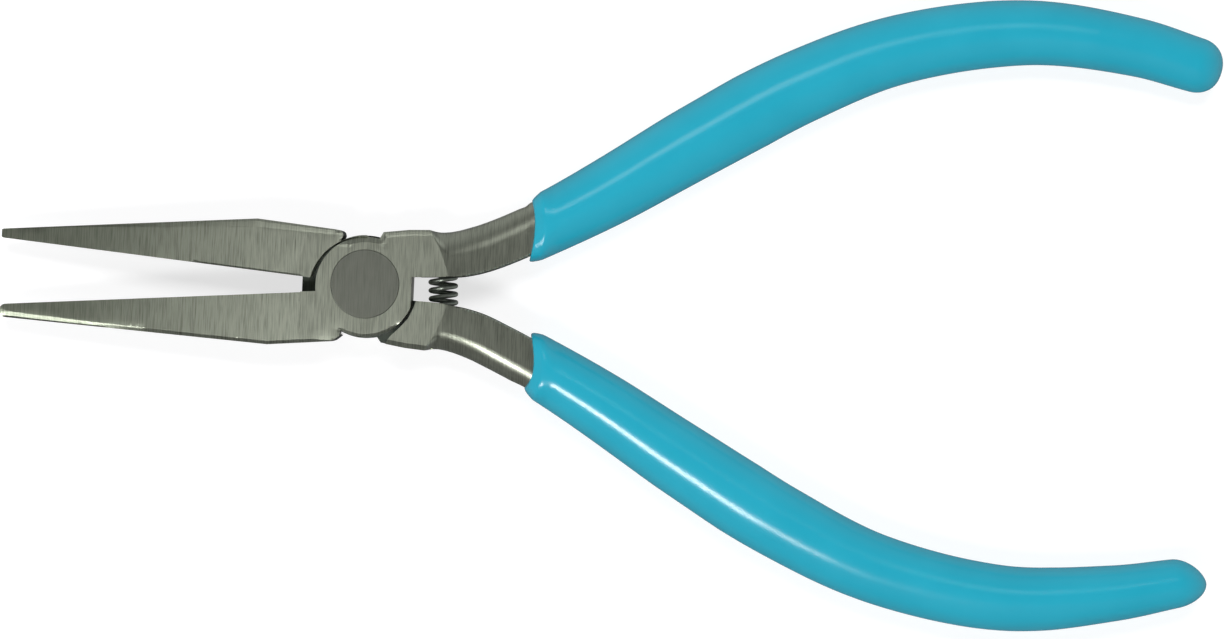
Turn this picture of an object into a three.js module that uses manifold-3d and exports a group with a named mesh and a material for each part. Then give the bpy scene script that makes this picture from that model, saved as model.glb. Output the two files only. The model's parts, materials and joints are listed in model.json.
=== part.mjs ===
// Needle nose pliers: two steel halves that cross in a lap joint, the rivet they turn on,
// the coil spring that opens them, and a thick dipped sleeve on each handle.
// Millimetres. X runs along the tool with the jaws towards -X and the handles towards +X,
// Y is across it, and Z is up out of the table that it lies on. The origin is on the
// rivet's axis at the underside of the joint.
import * as THREE from 'three';
import { mergeVertices } from 'three/addons/utils/BufferGeometryUtils.js';
import Module from 'manifold-3d';

const wasm = await Module();
wasm.setup();

// ---------------------------------------------------------------- driving dimensions

const THICKNESS = 8.4; // of the joint, and of the grips that lie on the table with it
const MID = THICKNESS / 2; // height of the lap plane
const CLEARANCE = 0.3; // between two pieces that touch on the real tool

const JAW = {
  tipThickness: 1.6,
  breakX: -25, // the faces fall more steeply from here to the tip
  breakThickness: 5.7,
  fullX: -8, // from here to the joint the jaws are as thick as the joint
  openingAtPivot: 0.31, // gripping face from the symmetry line, carried back to X = 0
  faceSlope: 0.0838, // how fast it leaves that line towards the tip
  outerBevel: 0.65,
  innerBevel: 0.12,
};

const JOINT = {
  frontDiscRadius: 5.95,
  rearDiscRadius: 6.15,
  discFlatX: 5.5, // the discs are cut off here, behind the spring's window
  recessGap: 0.4, // between a disc and the shoulder that it turns in
  throatX: -7.75, // the rear half's web closes the throat up to here
  throatDepth: 2.2, // how far the web reaches under the front jaw
};

const RIVET = {
  headRadius: 4.1,
  shankRadius: 2.6,
  rimHeight: 0.6,
  coneHeight: 1.5,
  topShift: [-0.05, 0.3], // the upper head was closed a little off the axis
};

const BOSS = { startX: 1.45, endX: 9.4, rampX: 7.4, innerY: 1.4, endInnerY: 1.6, bevel: 0.55 };

// Along a handle's steel, from inside the boss to the end of the tang: [x, size].
const SHANK = {
  width: [[8.2, 5.1], [10.6, 5.5], [13, 5.65], [19, 5.65], [26, 4.6], [88, 3.4]],
  thickness: [[8.2, 7.4], [19, 6.2], [26, 4.6], [88, 3]],
  squareness: 2.8,
  tangEndLength: 1.6,
};

const GRIP = { squareness: 2.5, mouthThickness: 7.6, mouthWidth: 7.0 };

const SPRING = {
  x: 9.2,
  radius: 1.45,
  wire: 0.7,
  pitch: 1,
  turns: 6.5,
  tilt: 3.5, // degrees, as it has settled in its pockets
  pocketDepth: 2.4,
};

// What differs between the two halves. Y is counted away from the symmetry line.
const HALVES = {
  front: {
    tipX: -43.8,
    tipRound: 0.55,
    tipInset: 0.45,
    tipInner: 0.05, // added to the gripping face's distance
    tipOuterY: 5.58,
    peakX: -11.4,
    peakY: 7.4,
    discRadius: JOINT.frontDiscRadius,
    bossY: [5.75, 6.6, 7.0, 7.1, 7.0],
    jawRecess: JOINT.rearDiscRadius + JOINT.recessGap,
    handleRecess: JOINT.rearDiscRadius + JOINT.recessGap,
    shankLine: [[8.2, 4.3], [10.6, 4.35], [13.2, 5.0], [16, 6.1], [20.4, 8.25]],
    gripLine: [
      [16, 5.75], [27.5, 12.1], [39.2, 19.5], [50.8, 26.3],
      [62.6, 31.35], [78, 34.05], [91, 32.9], [98, 31.15],
    ],
    endWidth: 6.6,
    endLength: 3.35,
    mouthX: 19.3,
  },
  rear: {
    tipX: -43.95,
    tipRound: 0.3,
    tipInset: 0.15,
    tipInner: -0.05,
    tipOuterY: 5.02,
    peakX: -13.2,
    peakY: 7.55,
    discRadius: JOINT.rearDiscRadius,
    bossY: [5.75, 6.6, 7.1, 7.3, 7.2],
    jawRecess: JOINT.frontDiscRadius + 0.35,
    handleRecess: JOINT.frontDiscRadius + 0.6,
    shankLine: [[8.2, 4.4], [10.6, 4.6], [13.2, 5.3], [16, 6.5], [20.4, 8.6]],
    gripLine: [
      [16, 6.1], [27.5, 12.25], [39.2, 19.35], [50.8, 25.95],
      [62.6, 31.05], [78, 33.85], [91, 32.7], [98.4, 31.2],
    ],
    endWidth: 5.9,
    endLength: 3.8,
    mouthX: 19.9,
  },
};

// ---------------------------------------------------------------- meshes and solids

// A closed body through a row of sections that have the same number of points.
function loft(sections) {
  const count = sections[0].length;
  const positions = sections.flat().flatMap((point) => [point.x, point.y, point.z]);
  const index = [];
  for (let s = 0; s + 1 < sections.length; s++) {
    for (let i = 0; i < count; i++) {
      const a = s * count + i;
      const b = s * count + ((i + 1) % count);
      index.push(a, b, b + count, a, b + count, a + count);
    }
  }
  const last = (sections.length - 1) * count;
  for (let i = 1; i + 1 < count; i++) {
    index.push(0, i + 1, i, last, last + i, last + i + 1);
  }
  const geometry = new THREE.BufferGeometry();
  geometry.setAttribute('position', new THREE.Float32BufferAttribute(positions, 3));
  geometry.setIndex(index);
  return geometry;
}

// The same closed mesh as a manifold solid. Its vertices are shared first, and its faces
// are turned over if they point inwards.
function solid(geometry) {
  const bare = geometry.clone();
  bare.deleteAttribute('normal');
  bare.deleteAttribute('uv');
  const merged = mergeVertices(bare, 1e-5);
  const p = merged.attributes.position;
  const triVerts = new Uint32Array(merged.index.array);
  const corners = [new THREE.Vector3(), new THREE.Vector3(), new THREE.Vector3()];
  let volume = 0;
  for (let i = 0; i < triVerts.length; i += 3) {
    corners.forEach((corner, k) => corner.fromBufferAttribute(p, triVerts[i + k]));
    volume += corners[0].dot(corners[1].clone().cross(corners[2]));
  }
  if (volume < 0) {
    for (let i = 0; i < triVerts.length; i += 3) {
      [triVerts[i], triVerts[i + 1]] = [triVerts[i + 1], triVerts[i]];
    }
  }
  const vertProperties = new Float32Array(p.array);
  return new wasm.Manifold(new wasm.Mesh({ numProp: 3, vertProperties, triVerts }));
}

function named(name, body, material) {
  const { vertProperties, triVerts } = body.getMesh();
  const geometry = new THREE.BufferGeometry();
  geometry.setAttribute('position', new THREE.BufferAttribute(vertProperties, 3));
  geometry.setIndex(new THREE.BufferAttribute(triVerts, 1));
  const flat = geometry.toNonIndexed();
  flat.computeVertexNormals();
  const mesh = new THREE.Mesh(flat, material);
  mesh.name = name;
  return mesh;
}

function box(low, high) {
  const size = high.map((value, i) => value - low[i]);
  const geometry = new THREE.BoxGeometry(...size);
  return solid(geometry.translate(...low.map((value, i) => value + size[i] / 2)));
}

function disc(radius, low, high, sides = 64) {
  const geometry = new THREE.CylinderGeometry(radius, radius, high - low, sides);
  return solid(geometry.rotateX(Math.PI / 2).translate(0, 0, (low + high) / 2));
}

// Turns a half over about the X axis through the lap plane, which swaps its two layers.
function turnedOver(body) {
  return body.rotate([180, 0, 0]).translate([0, 0, THICKNESS]);
}

// Straight-line reading of a list of [at, value] pairs.
function along(keys, at) {
  const next = keys.findIndex(([key]) => key >= at);
  if (next <= 0) return next === 0 ? keys[0][1] : keys[keys.length - 1][1];
  const [[a, low], [b, high]] = [keys[next - 1], keys[next]];
  return low + ((high - low) * (at - a)) / (b - a);
}

// ---------------------------------------------------------------- jaws and boss

// An upright section at x, between the two Y values, with bevels on its four edges.
function beamSection(x, inner, outer, halfThickness, innerBevel, outerBevel) {
  const towards = Math.sign(outer - inner);
  const a = innerBevel * towards;
  const b = outerBevel * towards;
  const h = halfThickness;
  const outline = [
    [inner, h - innerBevel], [inner + a, h], [outer - b, h], [outer, h - outerBevel],
    [outer, outerBevel - h], [outer - b, -h], [inner + a, -h], [inner, innerBevel - h],
  ];
  return outline.map(([y, z]) => new THREE.Vector3(x, y, MID + z));
}

function jaw(half) {
  const { breakX, fullX, outerBevel, innerBevel } = JAW;
  const { tipX, tipRound } = half;
  const thickness = [[tipX, JAW.tipThickness], [breakX, JAW.breakThickness], [fullX, THICKNESS]];
  const inner = (x) => JAW.openingAtPivot - JAW.faceSlope * x + half.tipInner;
  const outer = [
    [tipX + tipRound, half.tipOuterY], [half.peakX, half.peakY],
    [-3.9, 6.7], [-3.5, 6.55], [-2.85, 6.05],
  ];
  const stations = [tipX, tipX + tipRound / 2, tipX + tipRound, breakX, half.peakX, fullX, -3.9, -3.5, -2.85];
  const sections = stations.map((x) => {
    const rounding = Math.max(0, 1 - (x - tipX) / tipRound);
    const inset = half.tipInset * rounding * rounding;
    const h = along(thickness, x) / 2;
    const bevel = Math.min(outerBevel, h * 0.45);
    return beamSection(x, -inner(x) - inset, -along(outer, x) + inset, h, innerBevel, bevel);
  });
  return solid(loft(sections));
}

function boss(half) {
  const { startX, endX, rampX, innerY, endInnerY, bevel } = BOSS;
  const stations = [startX, 1.9, 5, rampX, endX];
  const sections = stations.map((x, i) => {
    const h = (i < 4 ? THICKNESS : along(SHANK.thickness, x)) / 2;
    const inner = along([[startX, innerY], [endX, endInnerY]], x);
    return beamSection(x, inner, half.bossY[i], h, 0.12, bevel);
  });
  return solid(loft(sections));
}

// ---------------------------------------------------------------- bars along a curve

// A bar along a flat curve. size(x) gives its width and thickness, squareness is the power
// of its rounded section, and the last stretch, roundLength long, closes to a round end.
function bar(points, size, { steps, sides, squareness, roundLength = 0 }) {
  const curve = new THREE.CatmullRomCurve3(points.map(([x, y]) => new THREE.Vector3(x, y, MID)));
  const stations = [];
  for (let i = 0; i <= steps; i++) {
    stations.push({ at: curve.getPointAt(i / steps), way: curve.getTangentAt(i / steps), scale: 1 });
  }
  const end = stations[steps];
  const capSteps = roundLength > 0 ? 6 : 0;
  for (let i = 1; i <= capSteps; i++) {
    const angle = ((i / capSteps) * 0.95 * Math.PI) / 2;
    const at = end.at.clone().addScaledVector(end.way, roundLength * Math.sin(angle));
    stations.push({ at, way: end.way, scale: Math.cos(angle) });
  }
  const sections = stations.map(({ at, way, scale }) => {
    const { width, thickness } = size(at.x);
    const side = new THREE.Vector3(-way.y, way.x, 0);
    const ring = [];
    for (let k = 0; k < sides; k++) {
      const angle = (2 * Math.PI * k) / sides;
      const c = Math.cos(angle);
      const s = Math.sin(angle);
      const across = (Math.sign(c) * Math.abs(c) ** (2 / squareness) * width * scale) / 2;
      const up = (Math.sign(s) * Math.abs(s) ** (2 / squareness) * thickness * scale) / 2;
      ring.push(at.clone().addScaledVector(side, across).add(new THREE.Vector3(0, 0, up)));
    }
    return ring;
  });
  return solid(loft(sections));
}

// The steel of a handle: the rounded shank behind the joint, and the tang in the grip.
function shankAndTang(half, grown = 0) {
  const { width, thickness, squareness, tangEndLength } = SHANK;
  const line = [...half.shankLine, ...half.gripLine.slice(1, -1)];
  const size = (x) => ({ width: along(width, x) + 2 * grown, thickness: along(thickness, x) + 2 * grown });
  return bar(line, size, { steps: 30, sides: 16, squareness, roundLength: tangEndLength + grown });
}

function grip(half) {
  const { squareness, mouthThickness, mouthWidth } = GRIP;
  const { mouthX, endWidth, endLength } = half;
  const width = [
    [mouthX, mouthWidth], [mouthX + 1.4, 7.45], [30, 8.2], [40, 8.8],
    [49, 9.1], [57, 8.85], [66, 8.4], [80, 8], [89, 7.5], [98, endWidth],
  ];
  const thickness = [[mouthX, mouthThickness], [mouthX + 1.4, THICKNESS], [86, THICKNESS], [98, 7]];
  const size = (x) => ({ width: along(width, x), thickness: along(thickness, x) });
  const options = { steps: 36, sides: 24, squareness, roundLength: endLength };
  const sleeve = bar(half.gripLine, size, options);
  const beforeMouth = box([0, -10, -10], [mouthX, 40, 20]);
  return sleeve.subtract(beforeMouth).subtract(shankAndTang(half, CLEARANCE));
}

// ---------------------------------------------------------------- the two halves

// What a half gives up so that the other half's disc can turn in it: its lower layer.
function recess(half) {
  const top = MID + CLEARANCE / 2;
  const left = disc(half.jawRecess, -1, top).subtract(box([0, -20, -2], [20, 20, 20]));
  const right = disc(half.handleRecess, -1, top).subtract(box([-20, -20, -2], [0, 20, 20]));
  return left.add(right);
}

// Room under the front jaw for the rear half's throat web, at every angle of the joint.
function webRoom() {
  const reach = Math.hypot(JOINT.throatX, JOINT.throatDepth) + CLEARANCE;
  const swing = 1.9;
  const sweep = disc(reach, -1, MID + CLEARANCE / 2);
  return sweep.intersect(box([-12, -JOINT.throatDepth - swing, -2], [0, 8, 20]));
}

function steelHalf(half, web) {
  const rivetHole = rivetBody(CLEARANCE);
  const ownLayer = disc(half.discRadius, MID + CLEARANCE / 2, THICKNESS);
  const discCut = box([JOINT.discFlatX, -10, -2], [20, 10, 20]);
  let body = jaw(half).add(boss(half)).add(shankAndTang(half)).subtract(recess(half));
  if (!web) body = body.subtract(webRoom());
  body = body.add(ownLayer.subtract(discCut));
  if (web) body = body.add(web);
  return body.subtract(rivetHole).subtract(springPocket());
}

// The rear half's web across the throat, in its own layer.
function throatWeb() {
  const { throatX, throatDepth } = JOINT;
  return box([throatX, -1.5, MID + CLEARANCE / 2], [-4, throatDepth, THICKNESS]);
}

// A blind round pocket in the inner side of a shank, which holds one end of the spring.
function springPocket() {
  const { x, radius, wire, pocketDepth } = SPRING;
  const depth = BOSS.endInnerY + pocketDepth;
  const pocketRadius = radius + wire / 2 + CLEARANCE;
  const geometry = new THREE.CylinderGeometry(pocketRadius, pocketRadius, depth, 32);
  return solid(geometry.translate(x, depth / 2, MID));
}

// ---------------------------------------------------------------- rivet and spring

// A rivet with a wide flush head at both ends. grown makes the hole that it turns in.
function rivetBody(grown = 0) {
  const { headRadius, shankRadius, rimHeight, coneHeight, topShift } = RIVET;
  const sides = 48;
  const rim = rimHeight + grown / 2;
  const past = grown > 0 ? 1 : 0;
  const rings = [
    [headRadius, -past, [0, 0]], [headRadius, rim, [0, 0]], [shankRadius, rim + coneHeight, [0, 0]],
    [shankRadius, THICKNESS - rim - coneHeight, [0, 0]], [headRadius, THICKNESS - rim, topShift],
    [headRadius, THICKNESS + past, topShift],
  ];
  const sections = rings.map(([radius, z, [x, y]]) =>
    Array.from({ length: sides }, (_, k) => {
      const angle = (2 * Math.PI * k) / sides;
      const r = radius + grown;
      return new THREE.Vector3(x + r * Math.cos(angle), y + r * Math.sin(angle), z);
    }),
  );
  return solid(loft(sections));
}

// A right-hand coil whose axis lies across the tool.
class Coil extends THREE.Curve {
  getPoint(t, target = new THREE.Vector3()) {
    const { x, radius, pitch, turns, tilt } = SPRING;
    const turn = (t - 0.5) * turns;
    const angle = 2 * Math.PI * (turn + 0.5);
    target.set(radius * Math.cos(angle), turn * pitch, -radius * Math.sin(angle));
    target.applyAxisAngle(new THREE.Vector3(0, 0, 1), THREE.MathUtils.degToRad(tilt));
    return target.add(new THREE.Vector3(x, 0, MID));
  }
}

function springBody() {
  const section = new THREE.Shape().absarc(0, 0, SPRING.wire / 2, 0, 2 * Math.PI);
  const steps = Math.round(SPRING.turns * 20);
  const settings = { steps, curveSegments: 4, extrudePath: new Coil() };
  return solid(new THREE.ExtrudeGeometry(section, settings));
}

// ---------------------------------------------------------------- assembly

const paint = (color, roughness, metalness) =>
  new THREE.MeshStandardMaterial({ color, roughness, metalness });

const pliers = new THREE.Group();
pliers.add(
  named('front_half', steelHalf(HALVES.front), paint('#8b8e84', 0.42, 1)),
  named('rear_half', turnedOver(steelHalf(HALVES.rear, throatWeb())), paint('#86897f', 0.42, 1)),
  named('pivot_rivet', rivetBody(), paint('#6a6d64', 0.5, 1)),
  named('return_spring', springBody(), paint('#33362f', 0.45, 1)),
  named('front_grip', grip(HALVES.front), paint('#2fa2bd', 0.35, 0)),
  named('rear_grip', turnedOver(grip(HALVES.rear)), paint('#2fa2bd', 0.35, 0)),
);

export default pliers;
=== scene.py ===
import json
import math

import bmesh
import bpy
import numpy as np
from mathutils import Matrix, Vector
from mathutils.geometry import delaunay_2d_cdt

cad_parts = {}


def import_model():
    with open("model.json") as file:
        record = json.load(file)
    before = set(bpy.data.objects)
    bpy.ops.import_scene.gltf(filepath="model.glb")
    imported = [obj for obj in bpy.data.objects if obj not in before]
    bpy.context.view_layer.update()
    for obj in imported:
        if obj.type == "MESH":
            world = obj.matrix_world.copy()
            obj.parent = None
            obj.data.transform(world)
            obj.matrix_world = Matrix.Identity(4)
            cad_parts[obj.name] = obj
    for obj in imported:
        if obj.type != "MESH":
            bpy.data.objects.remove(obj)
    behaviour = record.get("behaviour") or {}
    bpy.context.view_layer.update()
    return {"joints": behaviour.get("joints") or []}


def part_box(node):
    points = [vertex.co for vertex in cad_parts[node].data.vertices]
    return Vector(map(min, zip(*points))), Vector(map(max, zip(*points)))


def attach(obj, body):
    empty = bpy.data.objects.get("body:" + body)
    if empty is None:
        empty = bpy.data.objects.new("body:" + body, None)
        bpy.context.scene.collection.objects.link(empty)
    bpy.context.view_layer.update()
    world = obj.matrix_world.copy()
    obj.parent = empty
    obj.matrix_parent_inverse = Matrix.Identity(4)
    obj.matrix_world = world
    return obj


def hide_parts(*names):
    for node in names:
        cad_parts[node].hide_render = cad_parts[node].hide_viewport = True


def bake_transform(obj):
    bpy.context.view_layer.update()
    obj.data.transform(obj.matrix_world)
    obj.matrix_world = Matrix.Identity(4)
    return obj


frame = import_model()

MM = 0.001

# ---------------------------------------------------------------- sizes from the frame

PIVOT = frame["joints"][0]["pos_m"]
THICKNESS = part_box("pivot_rivet")[1].z / MM
MID = PIVOT[2] / MM
SPRING_LOW, SPRING_HIGH = (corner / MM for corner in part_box("return_spring"))
SPRING_X = (SPRING_LOW.x + SPRING_HIGH.x) / 2


def measured(side):
    """What the frame says of a half: its tip, its widest point, and where its grip starts and ends."""
    low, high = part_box(side + "_half")
    mouth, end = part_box(side + "_grip")
    peak_y = -low.y if side == "front" else high.y
    return dict(tip_x=low.x / MM, peak_y=peak_y / MM, mouth=mouth.x / MM, end_x=end.x / MM)


# ---------------------------------------------------------------- named sizes, in mm

GAP = 0.016  # running clearance that the eye sees between pieces
RIVET_HEAD, RIVET_SHANK = 4.1, 2.6  # radii
RIVET_RIM, RIVET_CONE = 0.6, 1.5  # heights of a head's straight rim and of the cone under it
RIVET_SHIFT = (-0.05, 0.3)  # the upper head was closed a little off the axis

JAW_BREAK_X, JAW_FULL_X = -25.0, -8.0  # where the jaw's taper changes, and where it ends
JAW_TIP_H, JAW_BREAK_H = 0.8, 2.85  # half thicknesses at the tip and at the break
FACE_AT_PIVOT, FACE_SLOPE = 0.31, 0.0838  # of the gripping faces, which open towards the tips
INNER_BEVEL_FROM_X = -20  # where the bevel along a gripping face starts
THROAT_X, THROAT_DEPTH = -7.75, 2.2
THROAT_LIP = 0.07  # the front disc's edge stands this far off its jaw's face
DISC_FLAT_X = 5.5
DISC_PAST_AXIS = 7.6  # degrees that the front disc's edge goes on past the axis, to its jaw's face
SHOULDER_Y = -5.28  # where a jaw's shoulder meets the disc
WEB_ROOM_R, WEB_ROOM_Y = 8.36, -4.1  # the front jaw is cut back to here for the rear half's web
WEB_END_X = -3  # inside the disc, where the web's own edges no longer matter
JAW_RECESS_CENTRE = (-0.15, 0.62)  # the rear jaw is cut back a little off the axis
BOSS_OUTER_Y = 7
BOSS_FACE_X, SLOPE_FROM_X = 6.5, 7  # the face is level before the first, and sloped only after both

# Along a handle: [x, full width], [x, half thickness] and the boss's inner edge as [x, y].
SHANK_WIDTH = [(8.2, 5.1), (10.6, 5.5), (13, 5.65), (19, 5.65), (26, 4.6), (88, 3.4)]
SHANK_H = [(8.2, 4.2), (19, 3.2), (21, 2.98), (22.6, 2.5), (26, 2.2), (88, 1.5)]
BOSS_INNER = [(5.5, 1.4), (7.5, 1.48), (9.4, 1.6)]
SHANK_FROM_X = 10.6
SHANK_PAST_BOSS = 2.4  # the shank's outer edge starts this far past the boss, after a slight dip
HIDDEN_X = 22  # the sleeves hide the steel from here on

# Along a sleeve, from its mouth: [length, full width]. Then its rolled lip, from the tang to the
# outside: [length, share of the height, share of the width].
GRIP_WIDTH = [
    (0, 7.0), (1.4, 7.45), (11, 8.2), (21, 8.8), (30, 9.1), (38, 8.85), (47, 8.4), (61, 8.0), (70, 7.5),
]
GRIP_LIP = [
    (0, 0.2, 0.1), (0.03, 0.34, 0.22), (0.08, 0.44, 0.36), (0.18, 0.52, 0.52), (0.4, 0.6, 0.7),
    (0.7, 0.71, 0.83), (0.85, 0.77, 0.88), (1.0, 0.84, 0.92), (1.15, 0.9, 0.95), (1.3, 0.945, 0.975),
    (1.45, 0.975, 0.99), (1.6, 0.992, 0.997),
]
GRIP_LIP_END = 1.85  # the sleeve's plain sections start past this length
GRIP_LEVEL_REACH = 9  # over this length the sections turn from the mouth's plane to the sleeve's line
GRIP_THIN_X, GRIP_END_H = 86, 3.5  # where it starts to thin, and its half thickness at the end

# Fineness: steps between points along an edge, and stations along the lines of the handles.
LONG_STEP, MIDDLE_STEP, SHORT_STEP, ROUND_STEP = 0.4, 0.3, 0.2, 0.18
HANDLE_STATIONS, GRIP_STATIONS = 700, 420
MERGE = 1e-4  # points closer than this are one
SHARP_DEGREES = 22  # edges that turn more than this stay sharp

# What differs between the halves:
#   boss, shoulder: the outer edge of the boss and the jaw's shoulder, as [x, y]
#   shank, grip: the line of the steel as far as the mouth, and the line of the sleeve
#   tip_...: the length and depth of the tip's rounding, and where its inner and outer sides are
#   disc, recess: the radius of its own disc, and of the room for the other one at each side
#   recess_edge: where the recess ends at the boss, as [x, y]
#   crown: where the shank is highest, from -1 at its inner edge to 1 at the outer one
#   flare: how much the steel widens at the mouth
#   mouth_reach: how much closer to the joint the mouth starts on its outer side
#   end_...: the width of the sleeve's end, how squarely it is rounded, and its lean
#   ..._bevel: a bevel's width and how steeply it drops; along the jaw's back, [x, width, drop]
HALVES = {
    "front": dict(
        **measured("front"),
        flip=False, tip_round=0.55, tip_inset=0.45, tip_inner=0.05, tip_outer=5.58, peak_x=-11.4,
        disc=5.95, recess=(6.55, 6.55), web=False, shift=RIVET_SHIFT,
        boss=[(1.45, 5.77), (1.9, 6.6), (5, 7.0), (7.4, 7.1)],
        shank=[(8.2, 4.3), (10.6, 4.35), (13.2, 5.0), (16, 6.1), (20.4, 8.25)],
        grip=[(16, 5.75), (27.5, 12.1), (39.2, 19.5), (50.8, 26.3),
              (62.6, 31.35), (78, 34.05), (91, 32.9), (98, 31.15)],
        end_width=6.6, end_power=2.25, end_skew=-0.1, mouth_reach=0.0, flare=0.25, crown=-0.1,
        shoulder=[(-3.9, -6.7), (-3.5, -6.55), (-2.85, -6.0)],
        jaw_bevel=[(-43, 0.75, 0.22), (-33, 0.5, 0.24), (-26, 0.42, 0.5), (-6, 0.4, 0.8), (-4, 0.12, 0.8)],
        jaw_inner_bevel=(0, 0), boss_bevel=(0.7, 0.24), recess_edge=[],
    ),
    "rear": dict(
        **measured("rear"),
        flip=True, tip_round=0.3, tip_inset=0.15, tip_inner=-0.05, tip_outer=5.02, peak_x=-13.2,
        disc=6.15, recess=(6.6, 6.55), web=True, shift=(0, 0),
        boss=[(1.5, 5.96), (1.95, 6.6), (5, 7.1), (7.4, 7.3)],
        shank=[(8.2, 4.4), (10.6, 4.6), (13.2, 5.3), (16, 6.5), (20.4, 8.6)],
        grip=[(16, 6.1), (27.5, 12.25), (39.2, 19.35), (50.8, 25.95),
              (62.6, 31.05), (78, 33.85), (91, 32.7), (98.4, 31.2)],
        end_width=5.9, end_power=1.75, end_skew=0.5, mouth_reach=0.5, flare=0.1, crown=0.17,
        shoulder=[(-3.9, -6.68), (-3.2, -6.58), (-2.98, -6.4), (-2.87, -6.0)],
        jaw_bevel=[(-43, 0, 0.25), (-30, 0.35, 0.22), (-13, 1.0, 0.2), (-4, 0.65, 0.2)],
        jaw_inner_bevel=(0.2, 0.8), boss_bevel=(0.6, 0.7),
        recess_edge=[(6.15, 1.4), (6.05, 1.7), (5.81, 2.4), (5.26, 3.56), (4.61, 4.36),
                     (4.11, 4.9), (3.37, 5.62), (3.0, 6.1), (2.6, 6.75)],
    ),
}

# ---------------------------------------------------------------- small geometry tools


def along(keys, at):
    """Straight-line reading of [(at, value), ...]."""
    return np.interp(at, [k[0] for k in keys], [k[1] for k in keys])


def smooth(low, high, at):
    """0 at low and before it, 1 at high and past it, and smooth between. low may be the larger."""
    t = np.clip((np.asarray(at, float) - low) / (high - low), 0, 1)
    return t * t * (3 - 2 * t)


def straight(a, b, step):
    """Points from a up to but not including b."""
    a, b = np.array(a, float), np.array(b, float)
    count = max(1, int(math.ceil(np.linalg.norm(b - a) / step)))
    return [tuple(a + (b - a) * i / count) for i in range(count)]


def path(points, step):
    """Points along a run of straight lines, without the last one."""
    return [p for a, b in zip(points, points[1:]) for p in straight(a, b, step)]


def arc(radius, start, end, step, centre=(0, 0)):
    """Points on an arc between two angles in degrees, without the last one."""
    count = max(2, int(math.ceil(abs(math.radians(end - start)) * radius / step)))
    angles = np.radians(np.linspace(start, end, count, endpoint=False))
    return [(centre[0] + radius * math.cos(a), centre[1] + radius * math.sin(a)) for a in angles]


def around(sides):
    """Angles once round a section."""
    return np.linspace(0, 2 * math.pi, sides, endpoint=False)


def spline(points, count):
    """A centripetal Catmull-Rom curve through the points, at equal steps: places, ways and lengths run."""
    p = np.array(points, float)
    p = np.vstack([2 * p[0] - p[1], p, 2 * p[-1] - p[-2]])
    found = []
    for i in range(1, len(p) - 2):
        knots = [0.0]
        for j in range(i - 1, i + 2):
            knots.append(knots[-1] + np.linalg.norm(p[j + 1] - p[j]) ** 0.5)
        t = np.linspace(knots[1], knots[2], 60, endpoint=False)[:, None]
        a = [(knots[k + 1] - t) / (knots[k + 1] - knots[k]) * p[i - 1 + k]
             + (t - knots[k]) / (knots[k + 1] - knots[k]) * p[i + k] for k in range(3)]
        b = [(knots[k + 2] - t) / (knots[k + 2] - knots[k]) * a[k]
             + (t - knots[k]) / (knots[k + 2] - knots[k]) * a[k + 1] for k in range(2)]
        span = knots[2] - knots[1]
        found.append((knots[2] - t) / span * b[0] + (t - knots[1]) / span * b[1])
    fine = np.vstack([*found, p[-2:-1]])
    run = np.concatenate([[0], np.cumsum(np.linalg.norm(np.diff(fine, axis=0), axis=1))])
    at = np.linspace(0, run[-1], count)
    place = np.stack([np.interp(at, run, fine[:, k]) for k in (0, 1)], 1)
    way = np.gradient(place, axis=0)
    return place, way / np.linalg.norm(way, axis=1)[:, None], at


def make_object(name, vertices, faces, material, sharp=SHARP_DEGREES):
    """A mesh piece from points in mm. Faces that meet at more than sharp degrees keep their edge."""
    mesh = bpy.data.meshes.new(name)
    mesh.from_pydata([tuple(np.asarray(v) * MM) for v in vertices], [], faces)
    bm = bmesh.new()
    bm.from_mesh(mesh)
    bmesh.ops.remove_doubles(bm, verts=bm.verts, dist=MERGE * MM)
    bmesh.ops.recalc_face_normals(bm, faces=bm.faces)
    bm.to_mesh(mesh)
    bm.free()
    mesh.shade_smooth()
    mesh.set_sharp_from_angle(angle=math.radians(sharp))
    mesh.materials.append(material)
    piece = bpy.data.objects.new(name, mesh)
    bpy.context.scene.collection.objects.link(piece)
    return piece


def loft_faces(rings, count):
    """Faces of a closed body through rings of count points each."""
    faces = []
    for r in range(rings - 1):
        for i in range(count):
            j = (i + 1) % count
            faces.append((r * count + i, r * count + j, (r + 1) * count + j, (r + 1) * count + i))
    faces.append(tuple(range(count - 1, -1, -1)))
    faces.append(tuple(range((rings - 1) * count, rings * count)))
    return faces


# ---------------------------------------------------------------- the steel halves


def gripping_face(half, x):
    """Y of the jaw's gripping face at X."""
    return -(FACE_AT_PIVOT + half["tip_inner"] - FACE_SLOPE * x)


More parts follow.
